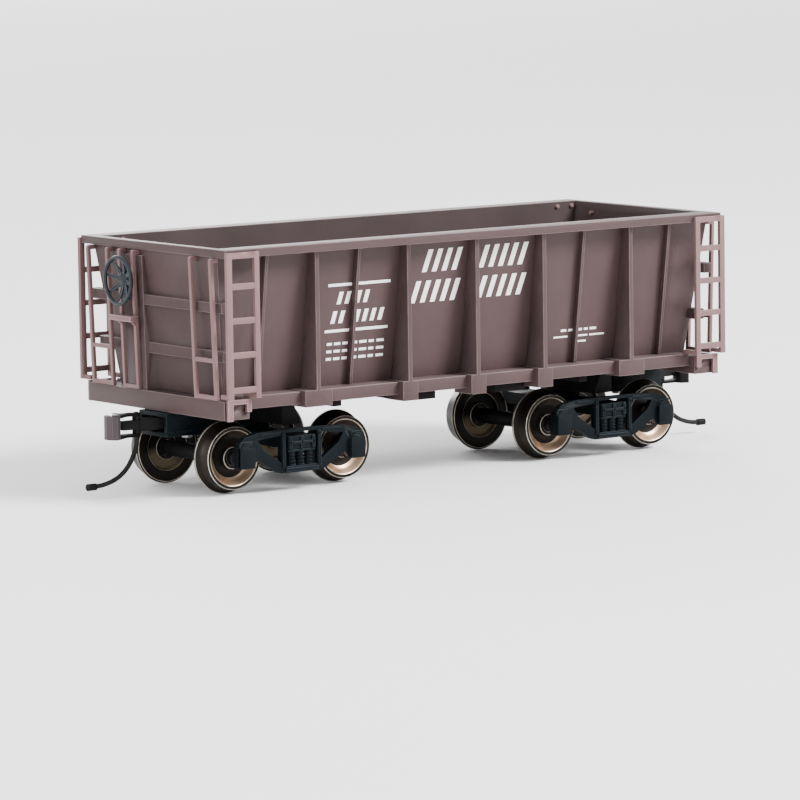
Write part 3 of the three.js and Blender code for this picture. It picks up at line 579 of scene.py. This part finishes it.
# %% Brake wheel
wheel_low, wheel_high = (v * 1000 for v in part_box("brake_wheel"))
brake_y, brake_z = (wheel_low.y + wheel_high.y) / 2, (wheel_low.z + wheel_high.z) / 2
rim_radius = (wheel_high.z - wheel_low.z) / 2
rim_x = wheel_low.x + 0.33
HUB_BACK_X, SPOKES, RIM_SIDES = -46.6, 8, 12
bm = bmesh.new()
edge_layer(bm)
turns = [i * math.tau / RIM_SIDES for i in range(RIM_SIDES)]
ring = [(rim_radius - 0.31 + 0.3 * math.cos(a), 0.27 * math.sin(a)) for a in turns]
turned(bm, ring, "x", (rim_x, brake_y, brake_z), 64)
hub = [(0.02, -0.72), (0.62, -0.76), (0.92, -0.55), (1.15, -0.2), (1.2, 0.0), (0.02, 0.0)]
turned(bm, hub, "x", (HUB_BACK_X, brake_y, brake_z), 40)
for spoke in range(SPOKES):
    before = set(bm.verts)
    made = bmesh.ops.create_cube(bm, size=1.0)
    bmesh.ops.scale(bm, vec=(0.42, 0.62, 0.5), verts=made["verts"])
    bmesh.ops.translate(bm, vec=(HUB_BACK_X - 0.32, 0, 0.9), verts=made["verts"])
    top = max((v for v in made["verts"]), key=lambda v: v.co.z).link_faces
    top = max(top, key=lambda f: f.calc_center_median().z)
    for step_z, step_x, slim in ((0.9, -0.18, 0.8), (1.35, -0.52, 0.82)):
        pulled = bmesh.ops.extrude_discrete_faces(bm, faces=[top])["faces"][0]
        bmesh.ops.translate(bm, vec=(step_x, 0, step_z), verts=pulled.verts)
        bmesh.ops.scale(bm, vec=(slim, slim, 1.0), verts=pulled.verts,
                        space=Matrix.Translation(-pulled.calc_center_median()))
        top = pulled
    arm = [v for v in bm.verts if v not in before]
    edges = list({e for v in arm for e in v.link_edges if e.calc_face_angle(0) > 0.6})
    bevelled(bm, edges, 0.08, 2)
    arm = [v for v in bm.verts if v not in before]
    way_round = Matrix.Rotation(spoke * math.tau / SPOKES + 0.2, 3, "X")
    bmesh.ops.rotate(bm, cent=(0, 0, 0), matrix=way_round, verts=arm)
    bmesh.ops.translate(bm, vec=(0, brake_y, brake_z), verts=arm)
bmesh.ops.recalc_face_normals(bm, faces=bm.faces)
print("brake wheel:", len(bm.faces), "faces, rim radius", round(rim_radius, 2), "mm")
add_piece("brake_wheel_casting", bm, "brake_hand_wheel", [brake_black], ["brake_wheel"])
cast_copy("brake_housing", brake_black, 0.1, 2)

# %% [markdown]
# ## Wheels and axles
# A model wheel is turned: a deep flange, a tread with a slight cone, a flat rim, then a dish that falls to
# the web and a small hub. Its outline is a closed loop of points that is spun once round the axle. The
# corners of the spun ring are then rounded and marked for the pale edge colour, which paints the tread's edge
# as the bright line that a real wheel shows, partly wear and partly painted highlight.
# Each face also gets its share of painted reflection: full in the lower half of the wheel at rest, none in
# the upper, where painted shade shows instead.

# %% Wheels
DARK, DISH, TREAD, BACK = 0, 1, 2, 3
WHEEL_FINISHES = [wheel_dark, wheel_dish, wheel_tread, wheel_back]
BORE, WEB_R, DISH_R, TREAD_FRONT_R, TREAD_R = 1.05, 2.9, 3.5, 4.58, 4.7


def wheel_zone(face):
    """Which finish a face of the wheel takes, from its radius and its station along the axle."""
    middle = face.calc_center_median()
    radius, along = math.hypot(middle.x, middle.z), middle.y
    if WEB_R < radius < 4.0 and along > 8.85:
        return DISH
    if radius > 4.45 and along > 8.3:
        return TREAD
    if 1.9 < radius < 3.45 and along < 8.2:
        return BACK
    return DARK


def other_side(bm):
    """Turns a far-side piece into a near-side one."""
    bmesh.ops.scale(bm, vec=(1, -1, 1), verts=bm.verts)
    bmesh.ops.recalc_face_normals(bm, faces=bm.faces)


def wheel_piece(node, side):
    low, high = (v * 1000 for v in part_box(node))
    centre = Vector(((low.x + high.x) / 2, 0, (low.z + high.z) / 2))
    flange = (high.z - low.z) / 2
    back = [(BORE, 7.4), (1.85, 7.4), (2.0, 7.9), (3.1, 7.9), (3.4, 7.25)]
    lip = [(flange - 0.28, 7.25), (flange - 0.01, 7.5), (flange - 0.03, 7.72), (flange - 0.3, 8.0)]
    front = [(TREAD_R, 8.35), (TREAD_FRONT_R, 10.04), (4.05, 10.04), (3.95, 9.96), (DISH_R, 9.4),
             (WEB_R, 8.9), (1.75, 8.9), (1.6, 9.68), (BORE, 9.68)]
    bm = bmesh.new()
    # Painted reflection and shade: 1 on the lower half of the wheel at rest, 0 on the upper half.
    painted_reflection_and_shade = bm.faces.layers.float.new("painted_reflection_and_shade")
    turned(bm, back + lip + front, "y", (0, 0, 0), 72, wheel_zone)
    for face in bm.faces:
        middle = face.calc_center_median()
        below = -middle.z / max(0.1, math.hypot(middle.x, middle.z))
        face[painted_reflection_and_shade] = min(1.0, max(0.0, (below + 0.1) / 0.55))
    round_edges(bm, 0.07, 2)
    if side == "near":
        other_side(bm)
    bmesh.ops.translate(bm, vec=centre, verts=bm.verts)
    count = len(bm.faces)
    add_piece(f"{node}_turned", bm, nodes[node]["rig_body"], WHEEL_FINISHES, [node])
    return count


for end in ("left", "right"):
    for number in ("1", "2"):
        for side in ("near", "far"):
            faces = wheel_piece(f"wheel_{end}_{number}_{side}", side)
        cast_copy(f"axle_{end}_{number}", wire_black, 0.05, 1)
print("a wheel has", faces, "faces")

# %% [markdown]
# ## Truck side frames
# The side frame is a casting shaped like a flat arch, with a journal box at each end and a nest of coil
# springs under the bolster. The CAD solid has the arch and the windows. The copy gets round edges, and then
# the castings that stand proud of it: journal lids, pedestal ribs, column guides, bolt heads and real coils.

# %% Parts of a side frame
def coil(bm, centre, radius, wire, z0, z1, turns):
    """A coil spring: a small circle carried round and up by a spin with a rise in each step."""
    made = bmesh.ops.create_circle(bm, cap_ends=True, segments=8, radius=wire)
    bmesh.ops.rotate(bm, cent=(0, 0, 0), matrix=Matrix.Rotation(math.pi / 2, 3, "X"), verts=made["verts"])
    bmesh.ops.translate(bm, vec=(radius, 0, 0), verts=made["verts"])
    steps = int(turns * 14)
    before = set(bm.verts) - set(made["verts"])
    start = list({f for v in made["verts"] for f in v.link_faces})
    bmesh.ops.spin(bm, geom=start, cent=(0, 0, 0), axis=(0, 0, 1), dvec=(0, 0, (z1 - z0) / steps),
                   angle=math.tau * turns, steps=steps, use_merge=False, use_duplicate=False)
    fresh = [v for v in bm.verts if v not in before]
    faces = list({f for v in fresh for f in v.link_faces})
    bmesh.ops.recalc_face_normals(bm, faces=faces)
    for face in faces:
        face.smooth = True
    bmesh.ops.translate(bm, vec=(centre[0], centre[1], z0), verts=fresh)


def bolt(bm, x, y, z, radius=0.26, stand=0.22):
    turned(bm, [(0.01, -0.1), (radius, -0.1), (radius, stand * 0.6), (radius * 0.6, stand), (0.01, stand)],
           "y", (x, y, z), 10)


def journal_casting(bm, x, out):
    """The box over an axle end, with its sloping lid, hinge and two bolts."""
    box_between(bm, (x - 1.2, 12.9, 4.15), (x + 1.2, 13.45, 7.2), 0.22)
    box_between(bm, (x - 0.85, 13.3, 4.5), (x + 0.85, 13.68, 6.35), 0.16)
    box_between(bm, (x - 1.05, 13.2, 6.45), (x + 1.05, 13.66, 6.95), 0.16)
    for dx in (-0.55, 0.55):
        bolt(bm, x + dx, 13.45, 6.7, 0.17, 0.22)
    box_between(bm, (x - 1.0, 12.85, 7.1), (x + 1.0, 13.25, 8.05), 0.15)
    box_between(bm, (x + out * 1.0 - 0.2, 12.8, 4.2), (x + out * 1.0 + 0.14, 13.3, 7.6), 0.12)


AXLE_X, GUIDE_X = 9.75, 3.15


def side_frame_piece(end, side):
    node = f"sideframe_{end}_{side}"
    low, high = (v * 1000 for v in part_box(node))
    middle = (low.x + high.x) / 2
    bm = skin_of(node)
    bmesh.ops.translate(bm, vec=(-middle, 0, 0), verts=bm.verts)
    if side == "near":
        other_side(bm)
    round_edges(bm, 0.14, 2, shortest=0.25)
    for out in (-1, 1):
        journal_casting(bm, out * AXLE_X, out)
        guide_x = out * GUIDE_X
        box_between(bm, (guide_x - 0.28, 12.9, 3.6), (guide_x + 0.28, 13.3, 8.7), 0.12)
        bolt(bm, guide_x, 13.25, 8.35, 0.2, 0.2)
        bolt(bm, guide_x, 13.25, 3.95, 0.2, 0.2)
        box_between(bm, (out * 5.4 - 1.7, 12.9, 8.62), (out * 5.4 + 1.7, 13.16, 8.95), 0.1)
    box_between(bm, (-2.9, 12.8, 3.0), (2.9, 13.35, 3.62), 0.14)
    box_between(bm, (-2.7, 12.1, 3.5), (2.7, 13.2, 3.85), 0.1)
    box_between(bm, (-2.35, 12.0, 5.85), (2.35, 13.12, 6.2), 0.1)
    for x in (-1.55, 0, 1.55):
        coil(bm, (x, 12.475), 0.6, 0.15, 3.8, 5.95, 4.5)
    if side == "near":
        other_side(bm)
    bmesh.ops.translate(bm, vec=(middle, 0, 0), verts=bm.verts)
    count = len(bm.faces)
    add_piece(f"{node}_casting", bm, f"truck_{end}", [truck_black], [node])
    return count


for end in ("left", "right"):
    for side in ("near", "far"):
        faces = side_frame_piece(end, side)
print("a side frame has", faces, "faces")

# %% [markdown]
# ## Truck bolsters
# The bolster is the beam across the truck that the springs carry. Its ends show through the frame windows as
# upright flanges joined by a web. The copy carries the beam, and four small blocks on each end make the rest.

# %% Bolsters
BOLSTER_H = [(-2.3, -1.75, 6.3, 8.1), (1.75, 2.3, 6.3, 8.1), (-0.28, 0.28, 6.3, 8.1), (-2.3, 2.3, 7.0, 7.4)]
for end in ("left", "right"):
    node = f"truck_bolster_{end}"
    low, high = (v * 1000 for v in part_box(node))
    middle = (low.x + high.x) / 2
    bm = round_edges(skin_of(node), 0.12, 2, shortest=0.3)
    for sy in (-1, 1):
        y0, y1 = sorted((sy * 12.9, sy * 13.42))
        for x0, x1, z0, z1 in BOLSTER_H:
            box_between(bm, (middle + x0, y0, z0), (middle + x1, y1, z1), 0.12)
    add_piece(f"{node}_casting", bm, f"truck_{end}", [truck_black], [node])
print("bolsters at", round(low.x, 1), "to", round(high.x, 1), "mm")

# %% [markdown]
# ## Couplers and draft boxes
# The knuckle coupler is a die casting, blackened, with soft edges all over. Its box and lid are acetal
# mouldings. The bent wire under it, the trip pin, is only blackened wire, so it keeps its CAD sweep and is
# shaded smooth.

# %% Couplers
for end in ("left", "right"):
    cast_copy(f"draft_box_{end}", truck_black, 0.1, 2, shortest=0.2)
    cast_copy(f"draft_lid_{end}", truck_black, 0.1, 2, shortest=0.2)
    cast_copy(f"coupler_head_{end}", coupler_black, 0.07, 2, shortest=0.14)
    cast_copy(f"knuckle_{end}", knuckle_grey, 0.09, 2, shortest=0.2)
    cast_copy(f"knuckle_pin_{end}", steel, 0.06, 2)
    cast_copy(f"trip_pin_{end}", wire_black, 0.08, 2)
    cast_copy(f"centering_spring_{end}", bronze, 0.03, 1)
    cast_copy(f"lid_screw_{end}", steel, 0.06, 2)
    cast_copy(f"truck_screw_{end}", steel, 0.08, 2)
    nodes[f"ballast_{end}"].data.materials.clear()
    nodes[f"ballast_{end}"].data.materials.append(steel)
print("couplers done")

# %% [markdown]
# ## Printing
# The sides carry white pad printing. Lettering is left out, and plain bars, dashes and hatching of the same
# weight stand in for it. Each mark is a film of ink that stands three hundredths of a millimetre proud of the
# sloping side. A mark is drawn flat, sheared where it slants, and then stood up on the side's slope.

# %% Marks on the side sheets
SHEET_LOW = Vector((0, -13.3, 15.64))
SHEET_RISE = Vector((0, -2.7, 19.5))
SHEET_LEAN = math.atan2(-SHEET_RISE.y, SHEET_RISE.z)
INK = 0.03


def mark_bar(bm, x0, x1, z0, z1, slant=0.0):
    """A bar on the near side between two stations along the car and two heights."""
    made = bmesh.ops.create_cube(bm, size=1.0)
    verts = made["verts"]
    rise = 1 / math.cos(SHEET_LEAN)
    bmesh.ops.scale(bm, vec=(x1 - x0, INK * 2, (z1 - z0) * rise), verts=verts)
    for v in verts:
        v.co.x += slant * v.co.z
    bmesh.ops.rotate(bm, cent=(0, 0, 0), matrix=Matrix.Rotation(SHEET_LEAN, 3, "X"), verts=verts)
    z = (z0 + z1) / 2
    y = SHEET_LOW.y + (z - SHEET_LOW.z) * SHEET_RISE.y / SHEET_RISE.z
    bmesh.ops.translate(bm, vec=((x0 + x1) / 2, y, z), verts=verts)


def mark_row(bm, stations, z0, z1, slant=0.0):
    for x0, x1 in stations:
        mark_bar(bm, x0, x1, z0, z1, slant)


bm = bmesh.new()
mark_row(bm, [(-25.2, -21.0), (-20.4, -14.1)], 29.55, 29.95)
mark_row(bm, [(-25.3, -21.0), (-20.4, -14.1)], 22.8, 23.2)
mark_row(bm, [(-23.3, -22.6), (-21.9, -21.2), (-20.0, -19.3), (-18.6, -17.9)], 26.9, 28.7, 0.25)
lower_bars = [(-24.2, -23.5), (-22.8, -22.1), (-20.0, -19.3), (-18.6, -17.9), (-17.2, -16.5), (-15.8, -15.1)]
mark_row(bm, lower_bars, 24.1, 25.9, 0.25)
dashes = [(-24.8, -23.9), (-23.5, -22.4), (-22.0, -21.1), (-20.1, -19.4), (-19.0, -17.7), (-17.3, -16.4),
          (-15.9, -14.6)]
for row in (20.9, 19.8, 18.7):
    mark_row(bm, dashes, row, row + 0.38)
big_bars = [(x, x + 0.85) for x in (-9.8, -8.0, -6.2, -4.4, -2.6, 2.4, 4.2, 6.0, 7.8, 9.6)]
mark_row(bm, big_bars[1:], 30.6, 33.9, 0.3)
mark_row(bm, big_bars, 26.1, 29.3, 0.3)
mark_row(bm, [(18.3, 19.3), (19.7, 20.6), (21.3, 22.3), (22.7, 23.4), (23.8, 25.0)], 19.75, 20.1)
mark_row(bm, [(17.0, 19.6), (21.1, 23.4), (23.8, 26.6)], 18.85, 19.1)
mark_row(bm, [(20.9, 23.2)], 18.0, 18.25)
near_marks = len(bm.faces) // 6
copied = bmesh.ops.duplicate(bm, geom=bm.verts[:] + bm.edges[:] + bm.faces[:])["geom"]
turned_verts = [g for g in copied if isinstance(g, bmesh.types.BMVert)]
bmesh.ops.rotate(bm, cent=(0, 0, 0), matrix=Matrix.Rotation(math.pi, 3, "Z"), verts=turned_verts)
bmesh.ops.recalc_face_normals(bm, faces=bm.faces)
add_piece("side_printing", bm, "car_body", [printed_white])
print(near_marks, "marks on each side")

# %% [markdown]
# ## Floor and light
# The floor is a wide pale sheet. A large soft key from high on the near side and to the right leaves the
# left faces of the gussets dark, and a weaker fill from the brake end keeps that end readable. A broad light
# behind the car draws the thin line along its top edge. An even pale sky does the rest.

# %% Stage
bm = bmesh.new()
bmesh.ops.create_grid(bm, x_segments=1, y_segments=1, size=6)
floor_mesh = bpy.data.meshes.new("floor")
bm.to_mesh(floor_mesh)
bm.free()
floor = bpy.data.objects.new("floor", floor_mesh)
bpy.context.scene.collection.objects.link(floor)
paper = bpy.data.materials.new("pale_paper")
paper.use_nodes = True
paper_tree = paper.node_tree
paper_shader = paper_tree.nodes["Principled BSDF"]
fibre = put_node(paper_tree, "ShaderNodeTexNoise", {"Scale": 30.0, "Detail": 4.0})
paper_place = paper_tree.nodes.new("ShaderNodeTexCoord")
paper_tree.links.new(paper_place.outputs["Object"], fibre.inputs["Vector"])
paper_tone = mixed(paper_tree, "MIX", fibre.outputs["Fac"], (0.84, 0.84, 0.84, 1), (0.87, 0.87, 0.87, 1))
paper_tree.links.new(paper_tone, paper_shader.inputs["Base Color"])
paper_shader.inputs["Roughness"].default_value = 0.9
floor_mesh.materials.append(paper)
world = bpy.data.worlds.new("studio")
world.use_nodes = True
world.node_tree.nodes["Background"].inputs["Color"].default_value = (1, 1, 1, 1)
world.node_tree.nodes["Background"].inputs["Strength"].default_value = 1.55
bpy.context.scene.world = world


def soft_light(name, at, size, power):
    data = bpy.data.lights.new(name, "AREA")
    data.shape = "RECTANGLE"
    data.size, data.size_y = size
    data.energy = power
    light = bpy.data.objects.new(name, data)
    bpy.context.scene.collection.objects.link(light)
    light.location = at
    light.rotation_euler = (Vector((0, 0, 0.02)) - Vector(at)).to_track_quat("-Z", "Y").to_euler()


soft_light("key", (0.55, -0.75, 0.75), (0.4, 0.4), 34)
soft_light("fill", (-1.1, -0.05, 0.4), (0.5, 0.5), 6.5)
soft_light("rim", (0.9, 2.9, 1.15), (2.0, 0.7), 90)
print("stage set")
